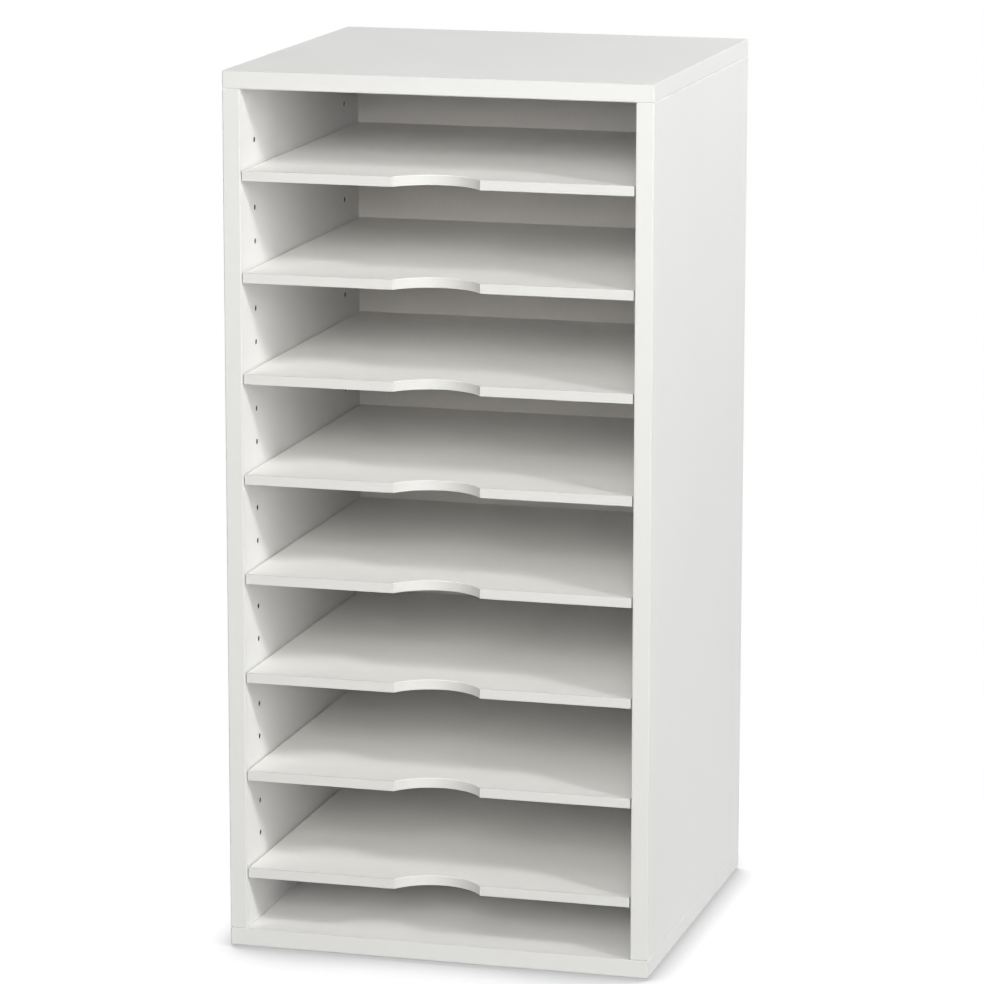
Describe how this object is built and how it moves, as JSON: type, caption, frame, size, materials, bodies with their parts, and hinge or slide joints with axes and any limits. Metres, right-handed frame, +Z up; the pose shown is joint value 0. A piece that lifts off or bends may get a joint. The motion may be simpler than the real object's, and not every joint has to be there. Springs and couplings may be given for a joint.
{
  "type": "paper sorter",
  "caption": "Tall open-front paper sorter in white laminated board, with adjustable pull-out shelves that have a round finger notch in the front edge.",
  "frame": {"origin": "on the floor, under the middle of the case", "axes": "+Z up, +X to the right seen from the open front, front faces -Y"},
  "size_m": [0.386, 0.371, 0.7925],
  "materials": {
    "white_board": "white melamine laminate, satin",
    "white_shelf": "white melamine laminate, satin",
    "white_back": "white faced thin fibreboard",
    "nickel_steel": "nickel plated",
    "beech": "bare beech",
    "glide_plastic": "moulded nylon"
  },
  "bodies": {
    "case": {"top_panel": "white_board", "bottom_panel": "white_board", "left_side_panel": "white_board", "right_side_panel": "white_board", "back_panel": "white_back", "shelf_pins_1": "nickel_steel", "shelf_pins_2": "nickel_steel", "shelf_pins_3": "nickel_steel", "shelf_pins_4": "nickel_steel", "shelf_pins_5": "nickel_steel", "shelf_pins_6": "nickel_steel", "shelf_pins_7": "nickel_steel", "shelf_pins_8": "nickel_steel", "bottom_left_dowels": "beech", "bottom_right_dowels": "beech", "top_left_dowels": "beech", "top_right_dowels": "beech", "floor_glides": "glide_plastic"},
    "shelf_1": {"shelf_1": "white_shelf"},
    "shelf_2": {"shelf_2": "white_shelf"},
    "shelf_3": {"shelf_3": "white_shelf"},
    "shelf_4": {"shelf_4": "white_shelf"},
    "shelf_5": {"shelf_5": "white_shelf"},
    "shelf_6": {"shelf_6": "white_shelf"},
    "shelf_7": {"shelf_7": "white_shelf"},
    "shelf_8": {"shelf_8": "white_shelf"}
  },
  "joints": [
    {"name": "shelf_1_slide", "type": "slide", "parent": "case", "child": "shelf_1", "axis": [0, -1, 0], "range_m": [0, 0.351]},
    {"name": "shelf_2_slide", "type": "slide", "parent": "case", "child": "shelf_2", "axis": [0, -1, 0], "range_m": [0, 0.351]},
    {"name": "shelf_3_slide", "type": "slide", "parent": "case", "child": "shelf_3", "axis": [0, -1, 0], "range_m": [0, 0.351]},
    {"name": "shelf_4_slide", "type": "slide", "parent": "case", "child": "shelf_4", "axis": [0, -1, 0], "range_m": [0, 0.351]},
    {"name": "shelf_5_slide", "type": "slide", "parent": "case", "child": "shelf_5", "axis": [0, -1, 0], "range_m": [0, 0.351]},
    {"name": "shelf_6_slide", "type": "slide", "parent": "case", "child": "shelf_6", "axis": [0, -1, 0], "range_m": [0, 0.351]},
    {"name": "shelf_7_slide", "type": "slide", "parent": "case", "child": "shelf_7", "axis": [0, -1, 0], "range_m": [0, 0.351]},
    {"name": "shelf_8_slide", "type": "slide", "parent": "case", "child": "shelf_8", "axis": [0, -1, 0], "range_m": [0, 0.351]}
  ]
}
